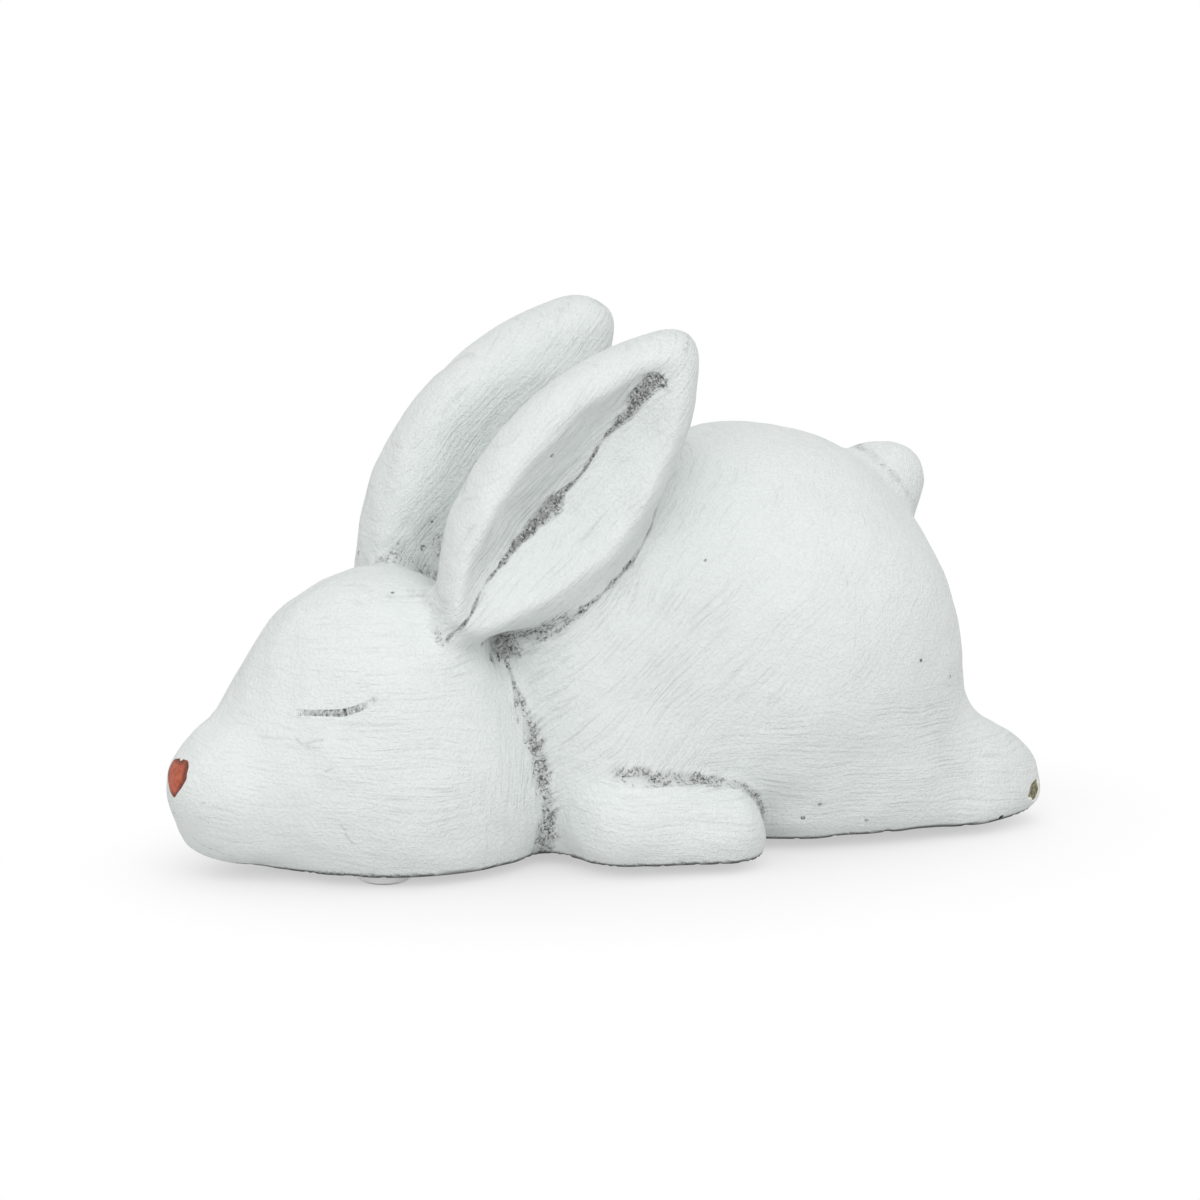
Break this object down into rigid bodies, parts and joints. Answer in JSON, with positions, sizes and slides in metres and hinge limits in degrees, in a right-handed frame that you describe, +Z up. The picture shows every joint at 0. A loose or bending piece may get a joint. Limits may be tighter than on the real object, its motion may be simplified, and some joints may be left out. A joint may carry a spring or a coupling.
{
  "type": "sleeping rabbit figurine",
  "caption": "Lying rabbit ornament with closed eyes, laid-back hollow ears and a ball tail, cast in one and stood on clear stick-on bumpers.",
  "frame": {"origin": "on the table, under the middle of the figurine's length and width, where the bumpers stand", "axes": "+Z up, -X towards the nose, -Y towards the rabbit's left side; the XZ plane is the mirror plane"},
  "size_m": [0.1536, 0.0778, 0.0912],
  "materials": {
    "painted_cement": "matte white paint brushed over grey cement",
    "nose_paint": "matte acrylic paint",
    "bumper": "clear and glossy",
    "adhesive": "clear film"
  },
  "bodies": {
    "root": {"casting": "painted_cement", "nose_paint": "nose_paint", "bumper_front_left": "bumper", "bumper_front_right": "bumper", "bumper_rear_left": "bumper", "bumper_rear_right": "bumper", "adhesive_front_left": "adhesive", "adhesive_front_right": "adhesive", "adhesive_rear_left": "adhesive", "adhesive_rear_right": "adhesive"}
  },
  "joints": []
}
